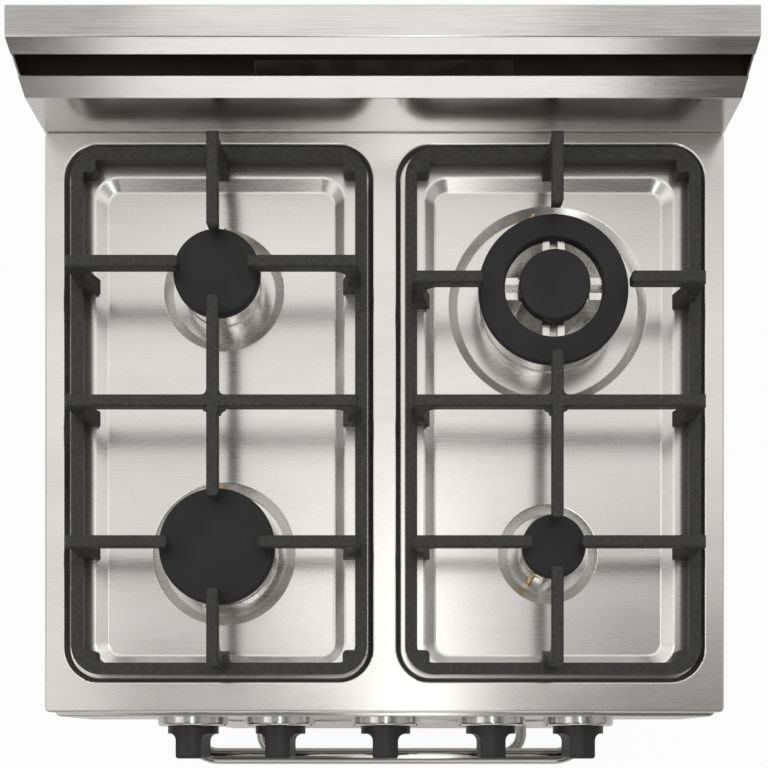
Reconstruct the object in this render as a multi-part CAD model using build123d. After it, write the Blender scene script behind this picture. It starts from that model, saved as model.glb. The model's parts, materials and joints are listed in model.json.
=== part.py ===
from build123d import *
from math import cos, hypot, radians, sin
import os

# Overall sizes in millimetres. The origin is on the floor under the middle of the range.
# The front looks towards -Y.
width = 600.0
rim_height = 900.0
hob_depth = 512.0
backguard_depth = 46.5
backguard_height = 76.5
handle_reach = 48.0
sheet = 1.5
rest_gap = 0.3
running_gap = 0.05

front_y = (handle_reach - hob_depth - backguard_depth) / 2
foot_y = front_y + hob_depth
back_y = foot_y + backguard_depth
half_width = width / 2
inner_half = half_width - sheet

# Hob top: two pressed wells, each with a pocket, a ledge for the pan support and a sloped step
skirt_height = 22.0
hob_corner = 4.0
rim_round = 2.0
well_side = 18.0
well_divide = 22.0
well_front = 27.0
well_rear = 11.5
well_corner = 30.0
ledge_drop = 7.0
front_ledge = 14.6
step_width = 9.5
floor_margin = 12.2
step_corner = 20.0
floor_corner = 12.0
floor_drop = 13.0
dish_depth = 4.5
dish_slope = 8.0
press_round = 4.0
brim_round = 2.0

well_width = half_width - well_side - well_divide / 2
well_length = hob_depth - well_front - well_rear
well_x = (well_width + well_divide) / 2
ledge_z = rim_height - ledge_drop
floor_z = rim_height - floor_drop
dish_z = floor_z - dish_depth
skirt_z = rim_height - skirt_height
well_y = front_y + well_front + well_length / 2

# Burners: place, cap radius and dish radius of each
burner_inset = 1.0
burner_shift = 1.0
front_burner_back = 142.4
semi_fore = 133.5
wok_fore = 146.7
rapid_cap = 50.0
semi_cap = 37.5
aux_cap = 27.5
wok_cap = 65.0
wok_hole = 42.5
wok_centre_cap = 30.5
rapid_dish = 64.0
semi_dish = 54.0
aux_dish = 44.5
wok_dish = 89.3
rapid_ports = 30
semi_ports = 22
aux_ports = 14
wok_ports = 36

ledge_width = well_width / 2 - step_width - wok_dish - floor_margin
burner_x = well_x - burner_inset
left_burner_x = burner_shift - burner_x
right_burner_x = burner_shift + burner_x
front_burner_y = front_y + front_burner_back
semi_y = foot_y - semi_fore
wok_y = foot_y - wok_fore

# Burner stack, the same on all four
cup_flange = 4.0
cup_flange_inset = 2.0
cup_wall = 16.0
cup_drop = 47.5
cup_taper = 12.0
cup_foot = 10.0
crown_height = 25.5
crown_foot = 4.0
crown_spread = 1.0
crown_wall = 6.0
crown_step = 4.0
core_ports = 16
core_port_radius = 0.9
core_port_drop = 6.0
port_width = 2.0
port_height = 7.0
cap_thick = 7.0
cap_round = 2.5
ring_cap_edge = 4.0
ring_cap_thick = 8.5
centre_rise = 5.0
bridge_width = 19.0
bridge_rise = 3.0
bridge_groove = 5.0
hole_gap = 0.5

crown_z = dish_z + cup_flange
cap_z = crown_z + crown_height
cup_z = dish_z - cup_drop

# Ignition and flame probes
pin_offset = 2.0
ceramic_radius = 3.0
probe_radius = 2.2
tip_radius = 1.0
pin_collar = 5.2
pin_collar_height = 3.0
pin_below = 24.0
ceramic_top = 14.0
probe_bare = 5.0
tip_past_crown = 2.0
notch_gap = 1.2

# Pan supports
grate_gap = 5.7
grate_shift = 1.5
grate_corner = 26.0
frame_bar = 10.5
frame_draft = 2.2
frame_height = 12.0
finger_width = 11.0
finger_depth = 11.0
finger_draft = 1.5
finger_rise = 36.0
finger_round = 2.2
tip_round = 5.0
post_inset = 5.8
post_width = 10.0
post_flare = 6.0
post_spread = 1.0
arch_round = 12.0
crown_round = 4.0
lug_size = 15.0
lug_round = 4.0
middle_bar_shift = 5.0
rapid_opening = 38.0
semi_opening = 29.0
aux_opening = 20.0
wok_opening = 62.0
crossing_round = 4.0

grate_width = well_width - 2 * grate_gap
grate_length = well_length - 2 * grate_gap
grate_height = finger_rise + ledge_drop
middle_bar_y = front_y + hob_depth / 2 + middle_bar_shift

# Backguard: upright face, slanted face with a vent slot along its whole width, flat top
upright_height = 39.0
slant_depth = 21.0
slot_low = 52.8
slot_high = 65.9
bend = 1.6
rear_inset = 3.0
rear_top_drop = 4.0
slot_recess = 8.0

slant_run = slant_depth / (backguard_height - upright_height)
top_z = rim_height + backguard_height
channel_z = rim_height + upright_height
rear_top_z = rim_height - rear_top_drop

# Control panel, knobs and taps
panel_height = 82.0
panel_proud = 3.0
panel_corner = 6.0
knob_rise = 44.0
inner_knob_x = 100.0
outer_knob_x = 183.0
bezel_radius = 32.5
bezel_thick = 8.0
bezel_round = 3.0
knob_radius = 23.5
knob_reach = 41.6
knob_standoff = 4.5
knob_base = 10.5
knob_grip = 23.5
knob_blend = 7.0
knob_round = 2.0
knob_edge = 0.8
knob_gap = 0.7
push_travel = 4.0
spindle_radius = 4.0
spindle_flat = 2.6
spindle_grip = 16.0
spindle_depth = 30.0
tap_nose_radius = 9.0
tap_nose = 12.5
tap_width = 26.0
tap_length = 44.0
tap_height = 30.0
tap_corner = 3.0
rail_radius = 8.0
rail_sink = 4.0
rail_back = 30.0
rail_margin = 28.0
panel_hole = 7.0

panel_y = front_y - panel_proud
panel_back_y = panel_y + sheet
panel_z = skirt_z - panel_height
knob_z = panel_z + knob_rise
knob_xs = [-outer_knob_x, -inner_knob_x, 0.0, inner_knob_x, outer_knob_x]
knob_back_y = panel_y - knob_standoff
knob_front_y = front_y - knob_reach
tap_front_y = panel_back_y + tap_nose
tap_back_y = tap_front_y + tap_length
tap_z = knob_z - tap_height / 2
rail_y = tap_front_y + rail_back
rail_z = tap_z - rail_sink

# Gas pipes
pipe_radius = 3.0
pipe_bend = 9.0
pipe_rise = 6.0
pipe_lead = 13.0
pipe_offset = 45.0
oven_pipe_x = 150.0
oven_pipe_back = 470.0
inlet_radius = 10.48
inlet_length = 16.0
inlet_nut = 15.0
inlet_nut_length = 18.0
inlet_bore = 7.3
inlet_access = 26.0
supply_radius = 6.0
supply_bend = 4.0
supply_lead = 16.0

pipe_z = knob_z + pipe_rise
inlet_z = knob_z - rail_radius
inlet_y = back_y - rear_inset - inlet_length - inlet_nut_length

# Case
plinth = 60.0
base_flange = 18.0
foot_pad = 19.0
foot_pad_height = 7.0
foot_round = 2.3
foot_stem = 5.0
foot_nut = 9.0
foot_nut_height = 8.0
foot_inset = 45.0
foot_top = 14.0
louvre_width = 60.0
louvre_height = 5.0
louvre_pitch = 14.0
louvre_rows = 4
louvre_columns = 5

inlet_x = inner_half - inlet_access - base_flange

# Drawer
door_setback = 6.0
facing_margin = 2.0
drawer_front_rise = 2.0
drawer_front_height = 264.0
drawer_front_depth = 18.0
drawer_length = 440.0
drawer_drop = 26.0
drawer_floor_rise = 18.0
slide_height = 33.0
slide_rise = 90.0
slide_thick = 16.0
slide_round = 3.2
rail_wall = 8.0
rail_depth = 26.5
facing_corner = 5.0

door_front_y = front_y + door_setback
facing_half = half_width - facing_margin
drawer_z = plinth + drawer_front_rise
drawer_top = drawer_z + drawer_front_height
drawer_back_y = door_front_y + drawer_front_depth
drawer_half = inner_half - rail_depth

# Oven door
door_thick = 42.0
door_skin_depth = 20.0
seal_space = 7.0
panel_gap = 6.0
hinge_in = 12.0
hinge_up = 8.0
swing_gap = 1.6
window_side = 80.0
window_height = 230.0
window_rise = 110.0
window_corner = 14.0
glass_thick = 4.0
glass_margin = 12.0
inner_window_margin = 20.0
hinge_side = 40.5
arm_thick = 5.0
arm_length = 90.0
arm_half = 8.0
bracket_thick = 4.0
bracket_gap = 3.0
pin_radius = 4.0
notch_side = 3.0
notch_up = 12.0

door_z = drawer_top + hypot(hinge_in, hinge_up) - hinge_up + swing_gap
door_top = panel_z - panel_gap
door_back_y = door_front_y + door_thick
frame_y = door_back_y + seal_space
hinge_y = door_front_y + hinge_in
hinge_z = door_z + hinge_up
window_z = door_z + window_rise
window_width = width - 2 * window_side
hinge_x = inner_half - hinge_side
foot_places = [(sx * (inner_half - foot_inset), y) for sx in (-1, 1)
               for y in (frame_y + foot_inset, back_y - foot_inset)]

# Handles, the same on door and drawer
handle_radius = 8.2
handle_half = 204.0
handle_bend = 32.0
door_handle_drop = 15.0
drawer_handle_drop = 20.0

# Oven
cavity_side = 80.0
cavity_below = 64.0
seal_rise = 4.0
liner_behind = 2.0
floor_plate_rise = 35.0
floor_plate_gap = 2.0
plate_slots = 6
plate_slot_width = 4.0
plate_slot_length = 16.0
plate_slot_inset = 8.0
oven_burner_radius = 10.0
oven_burner_rise = 18.0
oven_burner_bend = 45.0
oven_burner_front = 130.0
oven_burner_rear = 500.0
guide_wire = 2.4
guide_post = 3.2
guide_bend = 7.0
guide_end = 12.0
guide_front = 90.0
guide_rear = 440.0
guide_levels = 4
guide_top = 85.0
guide_rise = 95.0
guide_stand = 14.0
rack_rim = 3.0
rack_bar = 2.6
rack_wire = 2.0
rack_rods = 14
rack_level = 1
seal_width = 8.0
seal_round = 2.0
seal_margin = 12.0
flue_width = 220.0
flue_depth = 30.0
flue_mouth = 24.0
flue_mouth_drop = 12.0

cavity_z = hinge_z + seal_rise + seal_width + seal_margin
cavity_half = half_width - cavity_side
cavity_top = panel_z - cavity_below
liner_y = frame_y + sheet
liner_back_y = foot_y + liner_behind
guide_pitch = (cavity_top - cavity_z - guide_rise - guide_top) / (guide_levels - 1)
floor_plate_z = cavity_z + floor_plate_rise

centred = (Align.CENTER, Align.CENTER, Align.MIN)
slack = 1.0
touch = 0.01


def block(x, y, z):
    # A box between low and high pairs
    corner = Pos(x[0], y[0], z[0])
    return corner * Box(x[1] - x[0], y[1] - y[0], z[1] - z[0], align=Align.MIN)


def rod(start, end, radius):
    # A round bar from one point to another
    run = Vector(*end) - Vector(*start)
    return Plane(origin=start, z_dir=run) * Cylinder(radius, run.length, align=centred)


def tube(points, corner, radius):
    # A round bar along straight runs joined by arcs
    path = FilletPolyline(*points, radius=corner)
    return sweep(Plane(origin=path @ 0, z_dir=path % 0) * Circle(radius), path=path)


def turned(points):
    # A solid turned about Z from (radius, height) points
    return revolve(make_face(Plane.XZ * Polyline(*points, close=True)), Axis.Z)


def plate(size, corner, at, thick):
    # An upright rounded plate: width and height, centred at (x, y, z), thickness towards +Y
    face = Plane(origin=at, x_dir=(1, 0, 0), z_dir=(0, -1, 0)) * RectangleRounded(*size, corner)
    return extrude(face, -thick)


def rounded_corners(face, corners, radius):
    # The same face with the named corners rounded
    near = [v for v in face.vertices() if any((Vector(v) - Vector(*c)).length < touch for c in corners)]
    return fillet(near, radius)


def folded(points, ends):
    # A bent sheet from (y, z) points of its outer side, thickness to the left, drawn out between two x values
    line = FilletPolyline(*points, radius=bend)
    strip = make_face(offset(line, amount=sheet, side=Side.LEFT))
    start = Plane(origin=(ends[0], 0, 0), x_dir=(0, 1, 0), z_dir=(1, 0, 0))
    return extrude(start * strip, ends[1] - ends[0])


def facing(z_low, z_high, depth, corner):
    # A shallow steel tray seen from the front, its rim turned back
    shell = block((-facing_half, facing_half), (door_front_y, door_front_y + depth), (z_low, z_high))
    shell = fillet(shell.faces().sort_by(Axis.Y)[0].edges(), corner)
    reach = facing_half - sheet
    return shell - block((-reach, reach), (door_front_y + sheet, door_front_y + depth + slack),
                         (z_low + sheet, z_high - sheet))


def handle(z):
    # A bent tube standing off its facing
    bar_y = front_y - handle_reach + handle_radius
    points = [(-handle_half, door_front_y, z), (-handle_half, bar_y, z),
              (handle_half, bar_y, z), (handle_half, door_front_y, z)]
    return tube(points, handle_bend, handle_radius)


burners = {
    "rapid": (left_burner_x, front_burner_y, rapid_cap, rapid_dish, rapid_ports),
    "semi": (left_burner_x, semi_y, semi_cap, semi_dish, semi_ports),
    "aux": (right_burner_x, front_burner_y, aux_cap, aux_dish, aux_ports),
    "wok": (right_burner_x, wok_y, wok_cap, wok_dish, wok_ports),
}
spark_angles = {"rapid": -103.0, "semi": 100.0, "aux": -95.0, "wok": 88.0}
probe_angles = {"rapid": 95.0, "semi": 80.0, "aux": -125.0, "wok": 105.0}


def pin_place(name, angle):
    # Where an ignition or probe pin stands beside its burner
    x, y, cap, dish, ports = burners[name]
    reach = cap + pin_offset
    return Pos(x + reach * cos(radians(angle)), y + reach * sin(radians(angle)), 0)


def pin_holes(name, low, high):
    # Clearance for one burner's two pins between two heights
    holes = []
    for angle, radius in ((spark_angles[name], ceramic_radius), (probe_angles[name], probe_radius)):
        hole = Pos(0, 0, low) * Cylinder(radius + notch_gap, high - low, align=centred)
        holes.append(pin_place(name, angle) * hole)
    return holes


def well_space(side, grow):
    # The hollow of one well, grown by a sheet for its underside
    def outline(inset, front, corner, z):
        size = (well_width - 2 * inset + 2 * grow, well_length - inset - front + 2 * grow)
        middle = well_y + (front - inset) / 2
        return Pos(side * well_x, middle, z - grow) * RectangleRounded(*size, corner + grow)

    pocket = extrude(outline(0, 0, well_corner, ledge_z), ledge_drop + grow + slack)
    brim = outline(ledge_width, front_ledge, step_corner, ledge_z)
    bed = outline(ledge_width + step_width, front_ledge + step_width, floor_corner, floor_z)
    bowl = loft([bed, brim])
    if grow:
        return pocket + bowl
    bowl = fillet(bowl.faces().sort_by(Axis.Z)[0].edges(), press_round)
    space = pocket + bowl
    inner = well_width / 2 - ledge_width + touch
    ledge = [e for e in space.edges() if abs(e.center().Z - ledge_z) < touch
             and abs(e.center().X - side * well_x) < inner]
    return fillet(ledge, press_round)


def dish_space(grow):
    # The round dishes pressed into the well floors
    dishes = []
    for x, y, cap, dish, ports in burners.values():
        cone = Cone(dish - dish_slope + grow, dish + grow, dish_depth, align=centred)
        cone = fillet(cone.faces().sort_by(Axis.Z)[0].edges(), brim_round)
        dishes.append(Pos(x, y, dish_z - grow) * cone)
    return dishes


def hob_top():
    # One pressed sheet: skirts, rim, two wells and four dishes
    top = block((-half_width, half_width), (front_y, foot_y), (skirt_z, rim_height))
    top = fillet(top.edges().filter_by(Axis.Z), hob_corner)
    for side in (-1, 1):
        top -= well_space(side, 0)
    top -= dish_space(0)
    rims = top.edges().filter_by_position(Axis.Z, rim_height - touch, rim_height + touch)
    top = fillet(rims, rim_round)
    circles = top.edges().filter_by(GeomType.CIRCLE)
    brims = [e for e in circles if abs(e.center().Z - floor_z) < touch
             and any(abs(e.radius - dish) < touch for x, y, cap, dish, ports in burners.values())]
    top = fillet(brims, brim_round)
    under = block((-inner_half, inner_half), (front_y + sheet, foot_y - sheet),
                  (skirt_z - slack, rim_height - sheet))
    for side in (-1, 1):
        under -= well_space(side, sheet)
    under -= dish_space(sheet)
    top -= under
    for name, (x, y, cap, dish, ports) in burners.items():
        top -= Pos(x, y, skirt_z) * Cylinder(cup_radius(cap) + hole_gap, skirt_height, align=centred)
        top -= pin_holes(name, skirt_z, rim_height)
    return top


def cup_radius(cap):
    # Radius of the burner cup that passes through the hob
    return cap - cup_wall


def burner_cups():
    # Cast cups with a flange that rests in the dish
    cups = []
    for name, (x, y, cap, dish, ports) in burners.items():
        body = cup_radius(cap)
        lip = cap - cup_flange_inset
        cup = turned([(0, cup_z), (body - cup_foot, cup_z), (body, cup_z + cup_taper), (body, dish_z),
                      (lip, dish_z), (lip, crown_z), (0, crown_z)])
        cups.append(Pos(x, y, 0) * cup - pin_holes(name, cup_z, rim_height))
    return cups


def port_slots(radius, count):
    # Flame ports cut down from the top of a crown
    slot = block((radius - crown_wall - slack, radius + slack), (-port_width / 2, port_width / 2),
                 (cap_z - port_height, cap_z + slack))
    return [Rot(0, 0, 360 * i / count) * slot for i in range(count)]


def crown_ring(ring, bore):
    # The open ring of a crown on its slightly wider foot
    foot = ring + crown_spread
    neck_z = crown_z + crown_foot
    return turned([(bore, crown_z), (foot, crown_z), (foot, neck_z), (ring, neck_z + crown_spread),
                   (ring, cap_z), (bore, cap_z)])


def plain_crown(name):
    # A cast ring with a spread foot and slotted flame ports
    x, y, cap, dish, ports = burners[name]
    ring = cap - crown_step
    bore = ring - crown_wall
    crown = crown_ring(ring, bore)
    crown -= port_slots(ring, ports)
    return Pos(x, y, 0) * crown - pin_holes(name, crown_z - slack, cap_z + slack)


def wok_crown():
    # Outer double ring, inner ring and four grooved bridges between them
    x, y, cap, dish, ports = burners["wok"]
    ring = cap - crown_step
    bore = wok_hole + crown_step
    crown = crown_ring(ring, bore)
    crown -= port_slots(ring, ports)
    core = wok_centre_cap - crown_step
    core_z = cap_z + centre_rise
    crown += turned([(core - crown_wall, crown_z), (wok_centre_cap, crown_z),
                     (wok_centre_cap, crown_z + crown_foot), (core, core_z), (core - crown_wall, core_z)])
    port_z = core_z - core_port_drop
    drill = rod((0, 0, port_z), (wok_centre_cap, 0, port_z), core_port_radius)
    for i in range(core_ports):
        crown -= Rot(0, 0, 360 * (i + 1 / 2) / core_ports) * drill
    half = bridge_width / 2
    bridge = block((core - crown_step, bore + crown_step), (-half, half), (crown_z, cap_z))
    saddle = block((wok_centre_cap + hole_gap, wok_hole), (-half, half), (cap_z, cap_z + bridge_rise))
    bridge += saddle & Pos(0, 0, cap_z) * Cylinder(wok_hole - hole_gap, bridge_rise, align=centred)
    groove = Rot(45, 0, 0) * Box(cap, bridge_groove, bridge_groove)
    bridge -= Pos(cap / 2 + core / 2, 0, cap_z + bridge_rise) * groove
    for turn in range(4):
        crown += Rot(0, 0, 90 * turn) * bridge
    return Pos(x, y, 0) * crown - pin_holes("wok", crown_z - slack, cap_z + slack)


def disc_cap(x, y, radius):
    # A flat enamelled cap with a rounded rim
    cap = Pos(x, y, cap_z) * Cylinder(radius, cap_thick, align=centred)
    return fillet(cap.faces().sort_by(Axis.Z)[-1].edges(), cap_round)


def ring_cap():
    # The wok burner's ring-shaped cap, sloped down to a thin outer edge
    x, y, cap, dish, ports = burners["wok"]
    rim, brow = cap_z + ring_cap_edge, cap_z + ring_cap_thick
    ring = turned([(wok_hole, cap_z), (cap, cap_z), (cap, rim), (wok_hole, brow)])
    edges = ring.edges().filter_by(GeomType.CIRCLE).sort_by(Axis.Z)
    return Pos(x, y, 0) * fillet(edges[-2:], cap_round)


def pins(angles, radius, bare):
    # Upright pins held by a collar under the hob, with a thin tip beside the cap
    solids = []
    collar_z = dish_z - sheet
    for name, angle in angles.items():
        top = cap_z + tip_past_crown
        pin = turned([(0, collar_z - pin_below), (radius, collar_z - pin_below),
                      (radius, collar_z - pin_collar_height), (pin_collar, collar_z - pin_collar_height),
                      (pin_collar, collar_z), (radius, collar_z), (radius, top - bare),
                      (tip_radius, top - bare), (tip_radius, top), (0, top)])
        solids.append(pin_place(name, angle) * pin)
    return solids


def bar_section(length):
    # The drafted section of a cast bar and its post, drawn out along X
    half = finger_width / 2
    waist = half - finger_draft
    foot = half + post_spread
    right = [(half, grate_height), (waist, grate_height - finger_depth), (waist, frame_height + post_flare),
             (foot, frame_height), (foot, 0)]
    left = [(-x, z) for x, z in reversed(right)]
    section = make_face(Polyline(*right, *left, close=True))
    section = rounded_corners(section, [(half, grate_height), (-half, grate_height)], finger_round)
    return extrude(Plane.YZ * section, length)


def tip_plan(start, end):
    # A bar seen from above, its far end rounded
    half = finger_width / 2
    wide = half + post_spread
    foot = post_inset + post_width + post_flare
    points = [(start, wide), (foot, wide), (foot, half), (end, half), (end, -half), (foot, -half),
              (foot, -wide), (start, -wide)]
    face = make_face(Polyline(*points, close=True))
    face = rounded_corners(face, [(end, half), (end, -half)], tip_round)
    return extrude(face, grate_height)


def finger(at, heading, length):
    # A post on the frame that bends into a bar and ends in a rounded tip
    low = grate_height - finger_depth
    inner = post_inset + post_width
    points = [(post_inset, 0), (post_inset, grate_height), (length, grate_height), (length, low),
              (inner, low), (inner, frame_height + post_flare), (inner + post_flare, 0)]
    face = make_face(Polyline(*points, close=True))
    face = rounded_corners(face, [points[1], points[2], points[3]], crown_round)
    face = rounded_corners(face, [points[4]], arch_round)
    side_view = extrude(Plane.XZ * face, finger_width / 2 + post_spread, both=True)
    bar = side_view & tip_plan(0, length) & bar_section(length)
    return Pos(*at, ledge_z) * Rot(0, 0, heading) * bar


def middle_bar(x):
    # The full bar across the pan support, on a post at each end
    low = grate_height - finger_depth
    reach = grate_width / 2 - post_inset
    foot = reach - post_width
    knee = frame_height + post_flare
    points = [(-reach, 0), (-reach, grate_height), (reach, grate_height), (reach, 0), (foot - post_flare, 0),
              (foot, knee), (foot, low), (-foot, low), (-foot, knee), (post_flare - foot, 0)]
    face = make_face(Polyline(*points, close=True))
    face = rounded_corners(face, [points[1], points[2]], crown_round)
    face = rounded_corners(face, [points[6], points[7]], arch_round)
    bar = extrude(Plane.XZ * face, finger_width / 2 + post_spread, both=True)
    bar = bar & Pos(-reach, 0, 0) * bar_section(2 * reach)
    return Pos(x, middle_bar_y, ledge_z) * bar


def long_bar(x, front_tip, rear_tip):
    # The bar over the burner line, its tips rounded, with filleted corners where it meets the middle bar
    low = grate_height - finger_depth
    length = rear_tip - front_tip
    tips = tip_plan(0, length) & mirror(Pos(-length, 0, 0) * tip_plan(0, length), about=Plane.YZ)
    upper = Pos(0, -finger_width, low) * Box(length, 2 * finger_width, finger_depth, align=Align.MIN)
    bar = tips & bar_section(length) & upper
    web = finger_width / 2 + crossing_round
    cross = Rectangle(2 * web, finger_width) + Rectangle(finger_width, 2 * web)
    half = finger_width / 2
    corners = [(sx * half, sy * half) for sx in (-1, 1) for sy in (-1, 1)]
    cross = rounded_corners(cross, corners, crossing_round)
    joint = Pos(x, middle_bar_y, ledge_z + low) * extrude(cross, finger_depth - finger_round)
    return Pos(x, front_tip, ledge_z) * Rot(0, 0, 90) * bar + joint


def drafted_frame(x):
    # The cast ring of a pan support, its sides drafted, with a lug in each corner
    def outline(inset, corner, z):
        size = (grate_width - 2 * inset, grate_length - 2 * inset)
        return Pos(x, well_y, ledge_z + z) * RectangleRounded(*size, corner)

    outer = loft([outline(frame_draft, grate_corner, 0), outline(0, grate_corner, frame_height)])
    corner = grate_corner - frame_bar
    inner = loft([outline(frame_bar - frame_draft, corner, 0), outline(frame_bar, corner, frame_height)])
    space = inner
    half = lug_size / 2
    lug = extrude(RectangleRounded(lug_size, lug_size, lug_round), frame_height)
    for sx in (-1, 1):
        for sy in (-1, 1):
            reach_x = sx * (grate_width / 2 - frame_bar - half + lug_round)
            reach_y = sy * (grate_length / 2 - frame_bar - half + lug_round)
            space -= Pos(x + reach_x, well_y + reach_y, ledge_z) * lug
    return outer - space


def grate(side, rear_y, front_opening, rear_opening):
    # A cast pan support: ring frame, corner lugs, six fingers and the crossing bars
    x = side * well_x + grate_shift
    half_w = grate_width / 2
    half_l = grate_length / 2
    frame = drafted_frame(x)
    middle = side * burner_x + burner_shift
    for row, opening in ((front_burner_y, front_opening), (rear_y, rear_opening)):
        frame += finger((x - half_w, row), 0, middle - opening - (x - half_w))
        frame += finger((x + half_w, row), 180, x + half_w - middle - opening)
    front_end = well_y - half_l
    rear_end = well_y + half_l
    frame += finger((middle, front_end), 90, front_burner_y - front_opening - front_end)
    frame += finger((middle, rear_end), 270, rear_end - rear_y - rear_opening)
    frame += middle_bar(x)
    frame += long_bar(middle, front_burner_y + front_opening, rear_y - rear_opening)
    return frame


def backguard_front():
    # Upright face with a lip folded back along the slant
    points = [(foot_y, skirt_z), (foot_y, rim_height + upright_height),
              (foot_y + (slot_low - upright_height) * slant_run, rim_height + slot_low)]
    return folded([points[2], points[1], points[0]], (-half_width, half_width))


def backguard_cover():
    # Slanted upper lip, flat top and back, with an end plate at each side
    points = [(back_y, rear_top_z), (back_y, top_z), (foot_y + slant_depth, top_z),
              (foot_y + (slot_high - upright_height) * slant_run, rim_height + slot_high)]
    cover = folded(points, (-half_width, half_width))
    inner_y = foot_y + sheet
    outline = [(inner_y, skirt_z), (inner_y, rim_height + upright_height - bend),
               (inner_y + slot_recess, rim_height + slot_low), (foot_y + slant_depth + bend, top_z - sheet),
               (back_y - sheet, top_z - sheet), (back_y - sheet, skirt_z)]
    end = make_face(Polyline(*outline, close=True))
    for x in (-half_width, half_width - sheet):
        cover += extrude(Plane(origin=(x, 0, 0), x_dir=(0, 1, 0), z_dir=(1, 0, 0)) * end, sheet)
    return cover


def vent_channel():
    # The dark channel behind the slot, open below to the flue
    points = [(foot_y + 2 * sheet, channel_z), (back_y - sheet, channel_z),
              (back_y - sheet, top_z - sheet - bend)]
    channel = folded(points, (-inner_half, inner_half))
    reach = flue_width / 2 - sheet
    return channel - block((-reach, reach), (liner_back_y + 2 * sheet, liner_back_y + flue_depth),
                           (channel_z - slack, channel_z + 2 * sheet))


def flue_duct():
    # A chimney from the oven's rear wall to the vent channel
    y = liner_back_y + sheet
    low = cavity_top - flue_mouth_drop - flue_mouth - 2 * sheet
    half = flue_width / 2
    duct = block((-half, half), (y, y + flue_depth), (low, channel_z))
    duct -= block((sheet - half, half - sheet), (y + sheet, y + flue_depth - sheet),
                  (low + sheet, channel_z + slack))
    return duct - flue_opening()


def flue_opening():
    # The slot that joins the oven and its flue
    half = flue_width / 2 - 2 * sheet
    top = cavity_top - flue_mouth_drop
    depth = (liner_back_y - slack, liner_back_y + 2 * sheet + slack)
    return block((-half, half), depth, (top - flue_mouth, top))


def side_panel(side):
    # A case side with a narrow flange turned in along its top
    panel = block((inner_half, half_width), (frame_y, back_y), (plinth, skirt_z))
    panel += block((inner_half, half_width), (drawer_back_y + 2 * sheet, frame_y), (plinth, drawer_top))
    panel += block((inner_half - base_flange, inner_half), (frame_y + sheet, back_y - rear_inset - sheet),
                   (skirt_z - sheet, skirt_z))
    return panel if side > 0 else mirror(panel, about=Plane.YZ)


def rear_panel():
    # The back sheet, with louvres and a window for the gas connection
    panel = block((-inner_half, inner_half), (back_y - rear_inset - sheet, back_y - rear_inset),
                  (plinth, rear_top_z))
    span = (louvre_columns - 1) / 2
    for row in range(louvre_rows):
        for column in range(louvre_columns):
            x = (column - span) * (louvre_width + louvre_pitch)
            z = cavity_top - row * louvre_pitch
            panel -= block((x - louvre_width / 2, x + louvre_width / 2),
                           (back_y - rear_inset - sheet - slack, back_y), (z, z + louvre_height))
    start_y = back_y - rear_inset - 2 * sheet
    access = rod((inlet_x, start_y, inlet_z), (inlet_x, back_y, inlet_z), inlet_access)
    return panel - access


def base_frame():
    # A floor tray with its rim turned up and a hole for each foot
    rear = back_y - rear_inset - sheet
    tray = block((-inner_half, inner_half), (frame_y, rear), (plinth, plinth + base_flange))
    tray -= block((sheet - inner_half, inner_half - sheet), (frame_y + sheet, rear - sheet),
                  (plinth + sheet, plinth + base_flange + slack))
    for x, y in foot_places:
        tray -= Pos(x, y, plinth) * Cylinder(foot_stem + hole_gap, sheet, align=centred)
    return tray


def leveling_feet():
    # Threaded stems with a round pad and a lock nut under the base
    feet = []
    for x, y in foot_places:
        foot = Cylinder(foot_pad, foot_pad_height, align=centred)
        foot = fillet(foot.faces().sort_by(Axis.Z)[-1].edges(), foot_round)
        foot += Cylinder(foot_stem, plinth + foot_top, align=centred)
        nut = extrude(RegularPolygon(foot_nut, 6), foot_nut_height)
        foot += Pos(0, 0, plinth - foot_nut_height) * nut
        feet.append(Pos(x, y, 0) * foot)
    return feet


def control_panel():
    # A steel tray with soft upright corners and a hole for each tap
    shell = block((-half_width, half_width), (panel_y, frame_y), (panel_z, skirt_z))
    front = shell.faces().sort_by(Axis.Y)[0]
    shell = fillet(front.edges().filter_by(Axis.Z), panel_corner)
    shell = fillet(shell.faces().sort_by(Axis.Y)[0].edges().filter_by(Axis.X), sheet)
    inside_z = (panel_z + sheet, skirt_z - sheet)
    shell -= block((-inner_half, inner_half), (panel_back_y, frame_y + slack), inside_z)
    for x in knob_xs:
        shell -= rod((x, panel_y - slack, knob_z), (x, panel_back_y + slack, knob_z), panel_hole)
    return shell


def facing_front(x, y, shape):
    # A turned shape stood on its side, its axis along -Y from the panel
    return Pos(x, y, knob_z) * Rot(90, 0, 0) * shape


def knob_bezels():
    # Dished chrome rings on the panel, with the knob's skirt inside
    bore = knob_radius + knob_gap
    ring = turned([(bore, 0), (bezel_radius, 0), (bezel_radius, bezel_thick), (bore, bezel_thick)])
    ring = fillet(ring.faces().sort_by(Axis.Z)[-1].edges().sort_by(SortBy.RADIUS)[-1], bezel_round)
    return [facing_front(x, panel_y, ring) for x in knob_xs]


def d_section(radius, flat):
    # A round section with one flat
    return Circle(radius) - Pos(0, flat + radius) * Rectangle(4 * radius, 2 * radius)


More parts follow.
